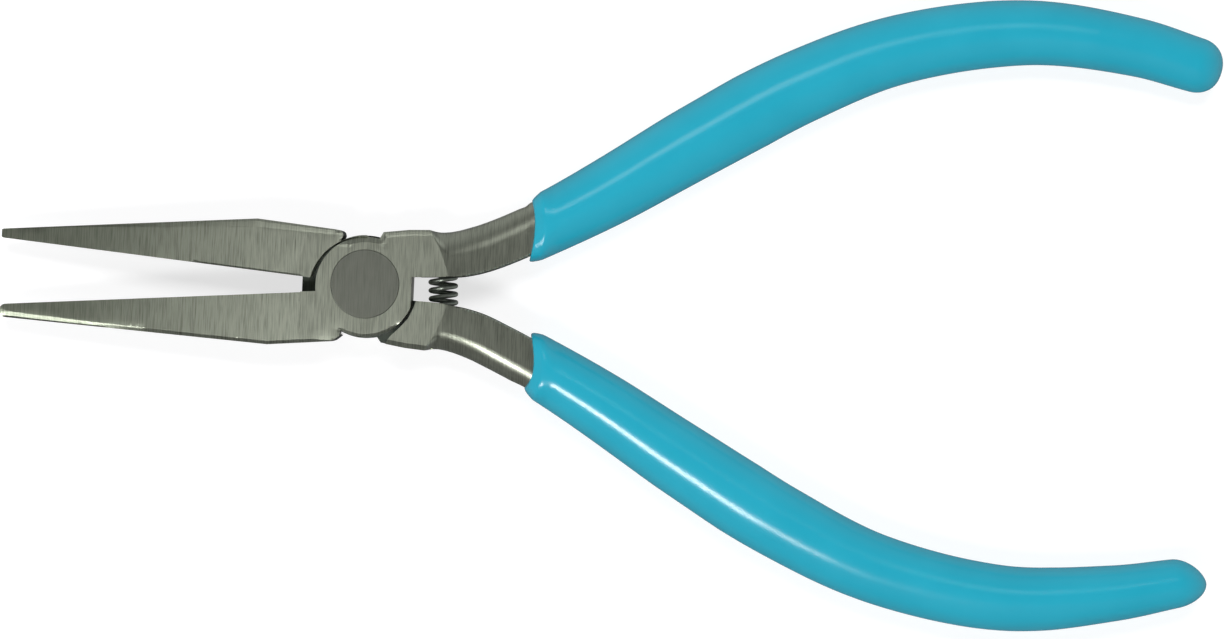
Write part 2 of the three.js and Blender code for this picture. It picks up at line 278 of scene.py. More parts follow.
class Handle:
    """The line of a handle's steel, and where a point lies across it."""

    def __init__(self, half):
        self.place, self.way, self.run = spline(half["shank"] + half["grip"][1:-1], HANDLE_STATIONS)
        self.side = np.stack([-self.way[:, 1], self.way[:, 0]], 1)
        self.width = along(SHANK_WIDTH, self.place[:, 0]) / 2
        self.half_thickness = along(SHANK_H, self.place[:, 0])
        mouth = half["mouth"]
        edge_x = self.place[:, 0] + self.side[:, 0] * self.width
        flare = smooth(mouth - 0.8, mouth + 0.1, edge_x) * half["flare"]
        self.outer_width = self.width + flare * smooth(mouth + 5, mouth + 2, self.place[:, 0])

    def edge(self, sign):
        """The outer edge's points for 1, or the inner edge's for -1."""
        width = self.outer_width if sign > 0 else self.width
        return self.place + self.side * (sign * width)[:, None]

    def thinned(self, stations):
        """Every second one of the stations where the steel shows, and every eighth in the sleeve."""
        return [i for i in stations if i % (2 if self.place[i, 0] < HIDDEN_X else 8) == 0]

    def across(self, xy):
        """For each point: its place from -1 at the inner edge to 1 outside."""
        near = ((xy[:, None, :] - self.place[None]) ** 2).sum(2).argmin(1)
        ahead = ((xy - self.place[near]) * self.way[near]).sum(1)
        station = near + ahead / self.run[1]

        def at(values):
            return np.interp(station, np.arange(len(values)), values)

        off = sum((xy[:, k] - at(self.place[:, k])) * at(self.side[:, k]) for k in (0, 1))
        width = np.where(off > 0, at(self.outer_width), at(self.width))
        return np.clip(off / width, -1, 1)


def outline(half, handle):
    """The half's plan, anticlockwise from its tip, with the width and drop of the bevel at each point."""
    disc, tip = half["disc"], half["tip_x"]
    runs = []

    def add(points, bevel=0.0, drop=0.7):
        """Bevel and drop are numbers, or functions of X."""
        runs.extend((x, y, bevel(x) if callable(bevel) else bevel, drop(x) if callable(drop) else drop)
                    for x, y in points)

    def jaw_bevel(column):
        return lambda x: along([(k[0], k[column]) for k in half["jaw_bevel"]], x)

    # round the tip, then out along the back of the jaw to its shoulder
    bend, inset = half["tip_round"], half["tip_inset"]
    tip_in, tip_out = gripping_face(half, tip + bend), -half["tip_outer"]
    add([(tip + bend, tip_in), (tip + bend / 2, tip_in - inset / 4), (tip + bend / 8, tip_in - inset * 0.7)])
    add([(tip, tip_in - inset), (tip, tip_out + inset), (tip + bend / 8, tip_out + inset * 0.7)])
    add([(tip + bend / 2, tip_out + inset / 4)])
    shoulder = half["shoulder"]
    back = [(tip + bend, tip_out), (half["peak_x"], -half["peak_y"])] + shoulder[:2]
    add(path(back, LONG_STEP), jaw_bevel(1), jaw_bevel(2))

    # the foot of the shoulder, and the disc's edge as far as its flat
    start = math.degrees(math.asin(SHOULDER_Y / disc))
    add(path(shoulder[1:] + [(-disc * math.cos(math.radians(start)), SHOULDER_Y)], SHORT_STEP))
    flat_angle = math.degrees(math.acos(DISC_FLAT_X / disc))
    low_bevel = lambda x: 0.3 * float(smooth(4.4, 3.2, abs(x)))
    add(arc(disc, 180 - start, 360 - flat_angle, ROUND_STEP), low_bevel, 0.6)
    add(path([(DISC_FLAT_X, -disc * math.sin(math.radians(flat_angle))), BOSS_INNER[0]], SHORT_STEP))

    # the inner side of the boss and shank, round the tang's end, and back along the outside
    inner_edge, outer_edge = handle.edge(-1), handle.edge(1)
    add(path(BOSS_INNER, MIDDLE_STEP))
    join = int(np.argmax(inner_edge[:, 0] > SHANK_FROM_X))
    add([tuple(inner_edge[i]) for i in handle.thinned(range(join, HANDLE_STATIONS))])
    end, way, side, width = handle.place[-1], handle.way[-1], handle.side[-1], handle.width[-1]
    add([tuple(end + way * width * math.sin(a) - side * width * math.cos(a))
         for a in np.linspace(0, math.pi, 13)])
    boss_back = np.array(half["boss"][-1])
    join = int(np.argmax(outer_edge[:, 0] > boss_back[0] + SHANK_PAST_BOSS))
    add([tuple(outer_edge[i]) for i in handle.thinned(range(HANDLE_STATIONS - 1, join, -1))])
    dip, forth = 0.16, outer_edge[join]
    add([tuple(boss_back + (forth - boss_back) * t - np.array([0, dip * math.sin(math.pi * t)]))
         for t in np.linspace(1, 0, 9)])

    # the outside of the boss, and the disc's edge to the throat
    boss_x = half["boss"][0][0]
    boss = [(boss_x, math.sqrt(disc ** 2 - boss_x ** 2))] + half["boss"][1:]
    add(path(boss[::-1], 0.25), *half["boss_bevel"])
    boss_angle = math.degrees(math.acos(boss_x / disc))
    web_angle = 180 - math.degrees(math.asin(THROAT_DEPTH / disc)) if half["web"] else 180 + DISC_PAST_AXIS
    top_bevel = lambda x: 0.65 * float(smooth(-3.8, -1.8, x))
    add(arc(disc, boss_angle, web_angle, ROUND_STEP), top_bevel, 0.5)

    # the throat, and the gripping face back to the tip
    throat = gripping_face(half, THROAT_X)
    if half["web"]:
        edge_x = -math.sqrt(disc ** 2 - THROAT_DEPTH ** 2)
        add(path([(edge_x, THROAT_DEPTH), (THROAT_X, THROAT_DEPTH), (THROAT_X, throat)], MIDDLE_STEP))
    else:
        start = (disc * math.cos(math.radians(web_angle)), disc * math.sin(math.radians(web_angle)))
        add(path([start, (THROAT_X, throat + THROAT_LIP), (THROAT_X, throat)], MIDDLE_STEP))
    width, drop = half["jaw_inner_bevel"]
    face_bevel = lambda x: width * float(x > INNER_BEVEL_FROM_X)
    add(path([(THROAT_X, throat), (tip + bend, tip_in)], LONG_STEP), face_bevel, drop)
    points = np.array([r[:2] for r in runs], float)
    return points, np.array([r[2] for r in runs]), np.array([r[3] for r in runs])


def inside(points, loop):
    """Whether each point lies inside a closed loop."""
    x, y = points[:, 0][:, None], points[:, 1][:, None]
    a, b = loop[None], np.roll(loop, -1, 0)[None]
    crosses = (a[..., 1] > y) != (b[..., 1] > y)
    with np.errstate(divide="ignore", invalid="ignore"):
        at = a[..., 0] + (y - a[..., 1]) * (b[..., 0] - a[..., 0]) / (b[..., 1] - a[..., 1])
    return (crosses & (x < at)).sum(1) % 2 == 1


def depth_in(points, loop, chosen=slice(None)):
    """Distance from each point to each side of the loop, or to the chosen ones."""
    a, b = loop[chosen], np.roll(loop, -1, 0)[chosen]
    d = b - a
    t = np.clip(((points[:, None] - a) * d).sum(2) / np.maximum((d * d).sum(1), 1e-12), 0, 1)
    return np.linalg.norm(points[:, None] - (a + t[..., None] * d), axis=2)


def edge_drop(points, loop, bevel, drop):
    """How far the bevelled edges lower the face at each point. A shallow bevel has a steeper rim."""
    cut = bevel > 0
    bevel, drop = bevel[cut], drop[cut]
    rim, rim_drop = 0.3 * bevel, np.where(drop < 0.3, 0.6, 0)
    lowered, batch = np.zeros(len(points)), 800
    for start in range(0, len(points), batch):
        part = slice(start, start + batch)
        d = depth_in(points[part], loop, cut)
        lowered[part] = (np.maximum(bevel - d, 0) * drop + np.maximum(rim - d, 0) * rim_drop).max(1)
    return lowered


def boss_end(y):
    """X where the boss's flat face stops. It sweeps back in a shallow curve from the outer edge."""
    up = np.maximum(BOSS_OUTER_Y - np.asarray(y, float), -0.5)
    return 7.5 + 0.634 * up - 0.0368 * up ** 2


def boss_run_out(y):
    """How far the face takes to fall from the boss to the shank."""
    return 0.6 + 0.2 * np.clip(BOSS_OUTER_Y - np.asarray(y, float), 0, 6)


def face_height(xy, half, handle, loop, bevel, drop):
    """Height of the half's face above the joint's middle plane at each point."""
    x = xy[:, 0]
    h = np.full(len(xy), THICKNESS / 2)
    jaw = [(half["tip_x"], JAW_TIP_H), (JAW_BREAK_X, JAW_BREAK_H), (JAW_FULL_X, THICKNESS / 2)]
    h = np.where(x < JAW_FULL_X, along(jaw, x), h)
    back = x > BOSS_FACE_X
    if back.any():
        bx, by = xy[back, 0], xy[back, 1]
        across = handle.across(xy[back])
        crown, start = half["crown"], boss_end(by)
        # along the shank's crown: straight down to the mouth, then as SHANK_H says
        mouth_x, mouth_h = SHANK_H[1]
        slope = np.clip((bx - start) / (mouth_x - start), 0, 1)
        full = THICKNESS / 2 - (THICKNESS / 2 - mouth_h) * slope
        full = np.where(bx < mouth_x, full, along(SHANK_H, bx))
        # across it: round on the outside, and a nearly flat inner side with a rounded edge
        out = np.clip((across - crown) / (1 - crown), 0, 1)
        inner_from, inner_width = 0.93, 0.07
        inner = np.clip((-across - inner_from) / inner_width, 0, 1)
        fall_out = np.where(bx > HIDDEN_X, 0.95, 0.66) * full
        fall = fall_out * (1 - np.sqrt(1 - out ** 2)) + 0.2 * (1 - np.sqrt(1 - inner ** 2))
        fall += 0.06 * np.clip(crown - across, 0, 2)
        h[back] = full - fall * smooth(0, 1, (bx - start) / boss_run_out(by))
    return h - edge_drop(xy, loop, bevel, drop) if bevel.any() else h


def triangulate(points, chains, keep):
    """Triangles of a Delaunay mesh that holds the chains' edges, where keep(centres) is true."""
    coords, edges, index = [], [], {}

    def at(p):
        key = (round(p[0], 4), round(p[1], 4))
        if key not in index:
            index[key] = len(coords)
            coords.append(Vector(key))
        return index[key]

    for chain, closed in chains:
        ids = [at(p) for p in chain]
        pairs = zip(ids, ids[1:] + ids[:1]) if closed else zip(ids, ids[1:])
        edges.extend((a, b) for a, b in pairs if a != b)
    for p in points:
        at(p)
    found = delaunay_2d_cdt(coords, edges, [], 0, 1e-5)
    xy = np.array([tuple(v) for v in found[0]])
    tris = np.array(found[2])
    chosen = keep(xy[tris].mean(1))
    return xy, tris[chosen]


def recess_zone(xy, half):
    """Where the half is cut away for the other half's disc and web."""
    x, y = xy[:, 0], xy[:, 1]
    left, right = half["recess"]
    if half["web"]:
        beside_web = (x < WEB_END_X) & (y > gripping_face(half, x))
        round_jaw = np.hypot(x - JAW_RECESS_CENTRE[0], y - JAW_RECESS_CENTRE[1]) < left
        edge = sorted(half["recess_edge"], key=lambda p: p[1])
        before_boss = x < along([(p[1], p[0]) for p in edge], y)
        return np.where(x < 0, round_jaw | beside_web, before_boss)
    r = np.hypot(x, y)
    return np.where(x < 0, (r < left) | ((r < WEB_ROOM_R) & (y > WEB_ROOM_Y)), r < right)


def recess_chains(half):
    """Where the recess for the other half ends, as lines that the lower mesh has to hold."""
    left, right = half["recess"]
    if half["web"]:
        throat = gripping_face(half, THROAT_X)
        beside_web = [(THROAT_X, throat), (-4, throat - FACE_SLOPE * (THROAT_X + 4)), (WEB_END_X, 0)]
        return [(arc(left, 165, 262, ROUND_STEP, JAW_RECESS_CENTRE), False),
                (path(beside_web, MIDDLE_STEP), False),
                (path([(6.2, 0.5)] + half["recess_edge"], SHORT_STEP), False)]
    corner = math.degrees(math.asin(WEB_ROOM_Y / WEB_ROOM_R))
    room = arc(WEB_ROOM_R, 160, 180 - corner, SHORT_STEP)
    inner_corner = (-left * math.cos(math.asin(WEB_ROOM_Y / left)), WEB_ROOM_Y)
    room += path([room[-1], inner_corner, (WEB_END_X, WEB_ROOM_Y)], SHORT_STEP)
    return [(arc(left, 90, 270, ROUND_STEP), False), (arc(right, -90, 90, ROUND_STEP), False), (room, False)]


def surface_points(half, handle, loop, bevel):
    """Extra points inside the outline, closer where the face curves."""
    points = []
    # beside the edges, along each bevel
    normal = np.roll(loop, -1, 0) - np.roll(loop, 1, 0)
    normal = np.stack([-normal[:, 1], normal[:, 0]], 1)
    normal /= np.maximum(np.linalg.norm(normal, axis=1), 1e-9)[:, None]
    for share in (0.3, 0.65, 1.0, 1.06):
        points.append((loop + normal * (bevel * share)[:, None])[bevel > 0.1])
    points.append((loop + normal * 0.3)[bevel <= 0.1])
    # in lanes along the handle, fewer in the sleeve
    lanes = np.concatenate([np.linspace(-0.97, 0.0, 10), np.linspace(0.08, 0.98, 22)])
    for i in range(0, HANDLE_STATIONS, 3):
        if handle.place[i, 0] > HIDDEN_X + 2 and i % 9:
            continue
        width = np.where(lanes > 0, handle.outer_width[i], handle.width[i])
        points.append(handle.place[i] + handle.side[i] * (lanes * width)[:, None])
    # in a grid on the jaw and joint, then round the boss's end and along the jaw's two breaks
    gx, gy = np.meshgrid(np.arange(half["tip_x"], 12, 0.8), np.arange(-7.6, 7.6, 0.8))
    grid = np.stack([gx.ravel(), gy.ravel()], 1)
    points.append(grid[(grid[:, 0] < 7) | (grid[:, 1] < 0)])
    across = np.arange(1.3, 7.2, 0.14)
    for share in np.linspace(-0.05, 1.1, 16):
        points.append(np.column_stack([boss_end(across) + share * boss_run_out(across), across]))
    for x in (JAW_BREAK_X, JAW_FULL_X):
        for offset in (-0.6, 0, 0.6):
            points.append(np.array([(x + offset, y) for y in np.arange(-7.2, 0, 0.4)]))
    points = np.vstack(points)
    points = points[inside(points, loop)]
    return points[depth_in(points, loop).min(1) > 0.03]


def mesh_sides(triangles):
    """Each side of the triangles, with the ones that share it and the way each goes along it."""
    found = {}
    for t, tri in enumerate(triangles):
        for a, b in zip(tri, np.roll(tri, -1)):
            found.setdefault((min(a, b), max(a, b)), []).append((t, a, b))
    return found


def outer_rim(sides, xy):
    """The outline as the mesh has it, with the points where the recess crosses it."""
    rim = {a: b for users in sides.values() if len(users) == 1 for _, a, b in users}
    first = max(rim, key=lambda i: xy[i, 0])
    ring, at = [first], rim[first]
    while at != first:
        ring.append(at)
        at = rim[at]
    return xy[ring]


def steel_half(side, steel, painted_shade_steel):
    """One forging: a meshed plan raised to the face and lowered to the back, with the recess cut."""
    half = HALVES[side]
    handle = Handle(half)
    loop, bevel, drop = outline(half, handle)
    extra = surface_points(half, handle, loop, bevel)
    hole = np.array(arc(RIVET_SHANK + GAP, 0, 360, SHORT_STEP))
    head_hole = hole * (RIVET_HEAD + GAP) / (RIVET_SHANK + GAP) + np.array(half["shift"])

    low_chains = [(loop, True), (hole, True)] + recess_chains(half)
    low_xy, low_tris = triangulate(extra, low_chains, lambda c: inside(c, loop) & ~inside(c, hole))
    zone = recess_zone(low_xy[low_tris].mean(1), half)
    sides = mesh_sides(low_tris)
    top_loop = outer_rim(sides, low_xy)
    extra = extra[~inside(extra, head_hole * 1.01)]
    top_chains = [(top_loop, True), (head_hole, True)]
    top_xy, top_tris = triangulate(extra, top_chains, lambda c: inside(c, top_loop) & ~inside(c, head_hole))

    vertices, faces = [], []

    def add(xy, height):
        """Adds points at a height, and gives the number of the first."""
        vertices.extend(map(tuple, np.column_stack([xy, np.broadcast_to(height, len(xy))])))
        return len(vertices) - len(xy)

    top = add(top_xy, MID + face_height(top_xy, half, handle, loop, bevel, drop))
    faces.extend(tuple(int(i) + top for i in tri) for tri in top_tris)
    low = add(low_xy, MID - face_height(low_xy, half, handle, loop, bevel, drop))
    lap = add(low_xy, MID + GAP / 2)
    base = np.where(zone, lap, low)
    faces.extend(tuple(int(i) + int(base[t]) for i in tri[::-1]) for t, tri in enumerate(low_tris))

    # walls: the recess's shoulders, the outline from each face to the other, and the rivet's hole
    top_at = {(round(x, 4), round(y, 4)): top + i for i, (x, y) in enumerate(top_xy)}
    hole_keys = {(round(x, 4), round(y, 4)) for x, y in hole}
    for users in sides.values():
        t, a, b = users[0]
        if len(users) == 2 and zone[users[0][0]] != zone[users[1][0]]:
            faces.append((low + int(a), low + int(b), lap + int(b), lap + int(a)))
        if len(users) == 1:
            key_a, key_b = (tuple(np.round(low_xy[i], 4)) for i in (a, b))
            if key_a in hole_keys and key_b in hole_keys:
                continue
            foot = int(base[t])
            faces.append((foot + int(a), foot + int(b), top_at[key_b], top_at[key_a]))
    rings = [(head_hole, THICKNESS), (head_hole, THICKNESS - RIVET_RIM),
             (hole, THICKNESS - RIVET_RIM - RIVET_CONE), (hole, MID + GAP / 2)]
    starts = [add(xy, z) for xy, z in rings]
    for upper, lower in zip(starts, starts[1:]):
        for i in range(len(hole)):
            j = (i + 1) % len(hole)
            faces.append((upper + i, upper + j, lower + j, lower + i))

    piece = make_object(side + "_half_steel", turned_over(np.array(vertices), half), faces, steel)
    # Faces on the lap plane, down in the recess, take near-black steel: painted shade for the recess.
    piece.data.materials.append(painted_shade_steel)
    for polygon in piece.data.polygons:
        if abs(polygon.center.z / MM - MID) < GAP:
            polygon.material_index = 1
    cut_pocket(piece, half["flip"])
    shade_faces(piece, half["flip"], lambda xy: face_height(xy, half, handle, loop, bevel * 0, drop))
    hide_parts(side + "_half")
    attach(piece, side)


def turned_over(points, half):
    """The points as they lie in the frame: the rear half's are turned over about the X axis."""
    return points * [1, -1, -1] + [0, 0, THICKNESS] if half["flip"] else points


def shade_faces(piece, flip, height):
    """Corner normals from the slope of the boss and shank, wherever a polygon lies on their face."""
    mesh = piece.data
    reach, inward, close, batch = 0.01, 0.12, 0.008, 3000
    turn, lift = (np.array([1, -1, -1]), np.array([0, 0, THICKNESS])) if flip else (np.ones(3), np.zeros(3))
    places = np.array([v.co for v in mesh.vertices]) / MM * turn + lift
    centres = np.array([p.center for p in mesh.polygons]) / MM * turn + lift
    level = (np.array([abs(p.normal.z) for p in mesh.polygons]) > 0.5) & (centres[:, 0] > SLOPE_FROM_X)
    vertex = np.array([corner.vertex_index for corner in mesh.loops])
    owner = np.repeat(np.arange(len(mesh.polygons)), [p.loop_total for p in mesh.polygons])

    def in_batches(points):
        return np.concatenate([height(points[i:i + batch]) for i in range(0, len(points), batch)])

    on_face = np.zeros(len(level), bool)
    on_face[level] = np.abs(np.abs(centres[level, 2] - MID) - in_batches(centres[level, :2])) < close
    chosen = on_face[owner]
    spots = places[vertex[chosen], :2] * (1 - inward) + centres[owner[chosen], :2] * inward
    steps = np.array([(reach, 0), (0, reach)])
    slope = [(in_batches(spots + step) - in_batches(spots - step)) / (2 * reach) for step in steps]
    normals = np.zeros((len(vertex), 3))
    normals[chosen] = np.column_stack([-slope[0], -slope[1], np.sign(centres[owner[chosen], 2] - MID)]) * turn
    length = np.linalg.norm(normals, axis=1)
    normals[chosen] /= length[chosen][:, None]
    mesh.normals_split_custom_set(normals.tolist())


def cut_pocket(piece, flip):
    """The blind round pocket in a shank that holds one end of the spring."""
    radius, depth, sides = (SPRING_HIGH.z - SPRING_LOW.z) / 2 + 0.3, 4.0, 48
    toward = -1 if flip else 1
    points = [(SPRING_X + radius * math.cos(a), y, MID + radius * math.sin(a))
              for y in (0, depth * toward) for a in around(sides)]
    cutter = make_object("pocket_cutter", points, loft_faces(2, sides), piece.data.materials[0])
    modifier = piece.modifiers.new("pocket", "BOOLEAN")
    modifier.operation, modifier.object, modifier.solver = "DIFFERENCE", cutter, "EXACT"
    graph = bpy.context.evaluated_depsgraph_get()
    mesh = bpy.data.meshes.new_from_object(piece.evaluated_get(graph))
    piece.modifiers.clear()
    piece.data = mesh
    mesh.set_sharp_from_angle(angle=math.radians(SHARP_DEGREES))
    bpy.data.objects.remove(cutter)


# ---------------------------------------------------------------- rivet, spring and grips


def rivet(material):
    """Two flush heads with cones under them, on a thinner shank."""
    head, shank, soft, top, sides = RIVET_HEAD, RIVET_SHANK, 0.06, THICKNESS - 0.005, 96
    # [radius, height, share of the upper head's shift]
    rings = [
        (head - soft, 0.0, 0), (head - soft * 0.3, soft * 0.3, 0), (head, soft, 0), (head, RIVET_RIM, 0),
        (shank, RIVET_RIM + RIVET_CONE, 0), (shank, top - RIVET_RIM - RIVET_CONE, 0),
        (head, top - RIVET_RIM, 1), (head, top - soft, 1), (head - soft * 0.3, top - soft * 0.3, 1),
        (head - soft, top, 1), (head * 0.5, top, 1),
    ]
    points = [(RIVET_SHIFT[0] * moved + r * math.cos(a), RIVET_SHIFT[1] * moved + r * math.sin(a), z)
              for r, z, moved in rings for a in around(sides)]
    piece = make_object("rivet_body", points, loft_faces(len(rings), sides), material)
    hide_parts("pivot_rivet")
    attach(piece, "front")


def spring(material):
    """A helix of round wire about Y, a little tilted, with its two ends rounded off."""
    wire, radius, pitch, turns, tilt = 0.285, 1.5, 1.0, 6.5, math.radians(3.5)
    steps, sides = int(turns * 40), 16
    round_end = (0.75, 0.92, 0.98)
    points = []
    for i in range(steps + 1):
        turn = (i / steps - 0.5) * turns
        angle = 2 * math.pi * (turn + 0.5)
        out = Vector((math.cos(angle), 0, -math.sin(angle)))
        centre = out * radius + Vector((0, turn * pitch, 0))
        way = Vector((-math.sin(angle) * radius, pitch / (2 * math.pi), -math.cos(angle) * radius))
        other = way.normalized().cross(out)
        from_end = min(i, steps - i)
        size = wire * (round_end[from_end] if from_end < len(round_end) else 1)
        for k in range(sides):
            a = 2 * math.pi * k / sides
            p = centre + (out * math.cos(a) + other * math.sin(a)) * size
            x = p.x * math.cos(tilt) - p.y * math.sin(tilt)
            y = p.x * math.sin(tilt) + p.y * math.cos(tilt)
            points.append((SPRING_X + x, y, MID + p.z))
    piece = make_object("spring_coil", points, loft_faces(steps + 1, sides), material, sharp=60)
    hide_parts("return_spring")
    x, reach, z = SPRING_X * MM, 6 * MM, PIVOT[2]
    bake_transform(piece)


def squareness(s):
    """The exponent of a sleeve's section, from squarish at the mouth to nearly an ellipse."""
    return 3.5 - 1.38 * float(smooth(0.3, 3.2, s))


def grip(side, material):
    """A thick dipped sleeve: the bore round the tang, the rolled lip at the mouth, and the outside."""
    half = HALVES[side]
    handle = Handle(half)
    mouth = half["mouth"]
    place, way, run = spline(half["grip"], GRIP_STATIONS)
    begin = int(np.argmax(place[:, 0] > mouth))
    place, way, run = place[begin:], way[begin:], run[begin:] - run[begin]
    sides, rings = 72, []
    angles = around(sides)

    def ring(at, facing, width, height, square, level=0.0):
        """A section with that exponent. level turns it from square to the line to the mouth's plane."""
        across = np.sign(np.cos(angles)) * np.abs(np.cos(angles)) ** (2 / square)
        up = np.sign(np.sin(angles)) * np.abs(np.sin(angles)) ** (2 / square)
        xy = at + np.outer(across * width, np.array([-facing[1], facing[0]]))
        if level > 0:
            bulge = 0.5 * (1 - across ** 2) - half["mouth_reach"] * np.maximum(across, 0) ** 2
            xy = xy + np.outer((at[0] + bulge - xy[:, 0]) / facing[0] * level, facing)
        rings.append(np.column_stack([xy, MID + up * height]))

    def half_width(s):
        return float(along(GRIP_WIDTH + [(run[-1], half["end_width"])], s)) / 2

    # the bore, from its far end back to the mouth
    bore = [i for i in range(len(handle.place) - 1, 0, -8) if handle.place[i, 0] > mouth + 1.5]
    for i in bore:
        wide, high = handle.width[i] + 0.15, handle.half_thickness[i] + 0.1
        ring(handle.place[i], handle.way[i], wide, high, squareness(0))
    near = int(np.argmin(((handle.place - place[0]) ** 2).sum(1)))
    tang_width, tang_h = handle.width[near] + half["flare"] + 0.08, handle.half_thickness[near] + 0.05
    ring(place[0], way[0], tang_width, tang_h, squareness(0), 1.0)

    # the rolled lip, then the outside
    for s, share, side_share in GRIP_LIP:
        at = np.array([np.interp(s, run, place[:, k]) for k in (0, 1)])
        wide = tang_width + (half_width(s) - tang_width) * side_share
        high = tang_h + (THICKNESS / 2 - tang_h) * share
        ring(at, way[0], wide, high, squareness(s), 1 - s / GRIP_LEVEL_REACH)
    for i in range(1, len(place), 2):
        s = run[i]
        if s < GRIP_LIP_END:
            continue
        high = float(np.interp(place[i, 0], [GRIP_THIN_X, place[-1, 0]], [THICKNESS / 2, GRIP_END_H]))
        ring(place[i], way[i], half_width(s), high, squareness(s), max(0.0, 1 - s / GRIP_LEVEL_REACH))

    # the rounded end
    end_length = half["end_x"] - place[-1, 0] + 0.05
    out = np.array([-way[-1][1], way[-1][0]])
    for t in np.sin(np.linspace(0, 0.97, 16)[1:] * math.pi / 2):
        at = place[-1] + way[-1] * end_length * t + out * half["end_skew"] * t * t
        narrowing = (1 - t ** half["end_power"]) ** (1 / half["end_power"])
        width, high = half["end_width"] / 2 * narrowing, GRIP_END_H * math.sqrt(1 - t * t)
        ring(at, way[-1], width, high, squareness(run[-1]))

    vertices = turned_over(np.vstack(rings), half)
    piece = make_object(side + "_grip_sleeve", vertices, loft_faces(len(rings), sides), material, sharp=70)
    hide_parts(side + "_grip")
    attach(piece, side)


# ---------------------------------------------------------------- materials


def new_material(name):
    """A new material, its nodes, links and shader, and the object's own coordinates."""
    made = bpy.data.materials.new(name)
    made.use_nodes = True
    nodes, links = made.node_tree.nodes, made.node_tree.links
    shader = nodes["Principled BSDF"]
    where = nodes.new("ShaderNodeTexCoord").outputs["Object"]
    return made, nodes, links, shader, where


def noise(nodes, links, where, scale, detail=3.0, rough=0.55):
    """A noise whose grain is 1 / scale metres along each axis."""
    mapping = nodes.new("ShaderNodeMapping")
    mapping.inputs["Scale"].default_value = scale
    links.new(where, mapping.inputs["Vector"])
    texture = nodes.new("ShaderNodeTexNoise")
    texture.inputs["Scale"].default_value = 1.0
    texture.inputs["Detail"].default_value = detail
    texture.inputs["Roughness"].default_value = rough
    links.new(mapping.outputs["Vector"], texture.inputs["Vector"])
    return texture.outputs["Fac"]


def spread(nodes, links, value, low, high, from_low=0.3, from_high=0.7):
    """The value moved from the range from_low to from_high into low to high, and held there."""
    node = nodes.new("ShaderNodeMapRange")
    node.inputs["From Min"].default_value, node.inputs["From Max"].default_value = from_low, from_high
    node.inputs["To Min"].default_value, node.inputs["To Max"].default_value = low, high
    links.new(value, node.inputs["Value"])
    return node.outputs["Result"]


def bump(nodes, links, height, distance, strength, below=None):
    """Bumps of that height in metres, on top of the bumps below."""
    node = nodes.new("ShaderNodeBump")
    node.inputs["Distance"].default_value = distance
    node.inputs["Strength"].default_value = strength
    links.new(height, node.inputs["Height"])
    if below is not None:
        links.new(below, node.inputs["Normal"])
    return node.outputs["Normal"]


def tint(nodes, links, fac, dark, light, base=None):
    """A mix from dark, or from the colour in base, to light."""
    node = nodes.new("ShaderNodeMix")
    node.data_type = "RGBA"
    node.inputs["A"].default_value = (*dark, 1)
    node.inputs["B"].default_value = (*light, 1)
    if base is not None:
        links.new(base, node.inputs["A"])
    links.new(fac, node.inputs["Factor"])
    return node.outputs["Result"]


def combine(nodes, links, a, b, weight):
    """a + weight * b"""
    node = nodes.new("ShaderNodeMath")
    node.operation = "MULTIPLY_ADD"
    links.new(b, node.inputs[0])
    node.inputs[1].default_value = weight
    links.new(a, node.inputs[2])
    return node.outputs[0]


def brushed_steel(name, dark, light, rough):
    """Steel ground across the tool: fine lines along Y, soft patches, and painted shade that darkens it
    towards the tips.
    """
    made, nodes, links, shader, where = new_material(name)
    lines = noise(nodes, links, where, (10500, 330, 330), detail=2, rough=0.6)
    patches = noise(nodes, links, where, (1300, 500, 600), detail=3)
    mixed = combine(nodes, links, lines, patches, 0.2)
    grained = tint(nodes, links, spread(nodes, links, mixed, 0, 1, 0.27, 0.68), dark, light)
    # Painted shade: from x = -6 mm out to x = -36 mm the colour is mixed towards near-black, 55 % of the way
    # at the tips.
    apart = nodes.new("ShaderNodeSeparateXYZ")
    links.new(where, apart.inputs["Vector"])
    tip_shade_share = spread(nodes, links, apart.outputs["X"], 0.55, 0, -0.036, -0.006)
    painted_tip_shade = tint(nodes, links, tip_shade_share, (0, 0, 0), (0.03, 0.04, 0.02), grained)
    links.new(painted_tip_shade, shader.inputs["Base Color"])
    links.new(spread(nodes, links, patches, rough - 0.01, rough + 0.02), shader.inputs["Roughness"])
    links.new(bump(nodes, links, lines, 0.00002, 0.07), shader.inputs["Normal"])
    shader.inputs["Metallic"].default_value = 1.0
    return made


def spring_steel():
    """Dark, uneven spring wire."""
    made, nodes, links, shader, where = new_material("spring_steel_dark")
    patches = noise(nodes, links, where, (2500, 2500, 2500))
    uneven = tint(nodes, links, patches, (0.14, 0.155, 0.135), (0.38, 0.42, 0.36))
    links.new(uneven, shader.inputs["Base Color"])
    links.new(spread(nodes, links, patches, 0.28, 0.45), shader.inputs["Roughness"])
    links.new(bump(nodes, links, patches, 0.00003, 0.3), shader.inputs["Normal"])
    shader.inputs["Metallic"].default_value = 0.85
    return made


def vinyl():
    """Glossy dipped vinyl, faintly uneven in colour and level."""
    made, nodes, links, shader, where = new_material("grip_vinyl")
    patches = noise(nodes, links, where, (120, 120, 120), detail=2)
    specks = noise(nodes, links, where, (2600, 2600, 2600), detail=2)
    paler = spread(nodes, links, patches, 0, 1)
    uneven = tint(nodes, links, paler, (0.0128, 0.302, 0.416), (0.0165, 0.32, 0.438))
    links.new(uneven, shader.inputs["Base Color"])
    links.new(spread(nodes, links, specks, 0.17, 0.24), shader.inputs["Roughness"])
    broad = bump(nodes, links, patches, 0.0004, 0.12)
    links.new(bump(nodes, links, specks, 0.00001, 0.15, broad), shader.inputs["Normal"])
    return made


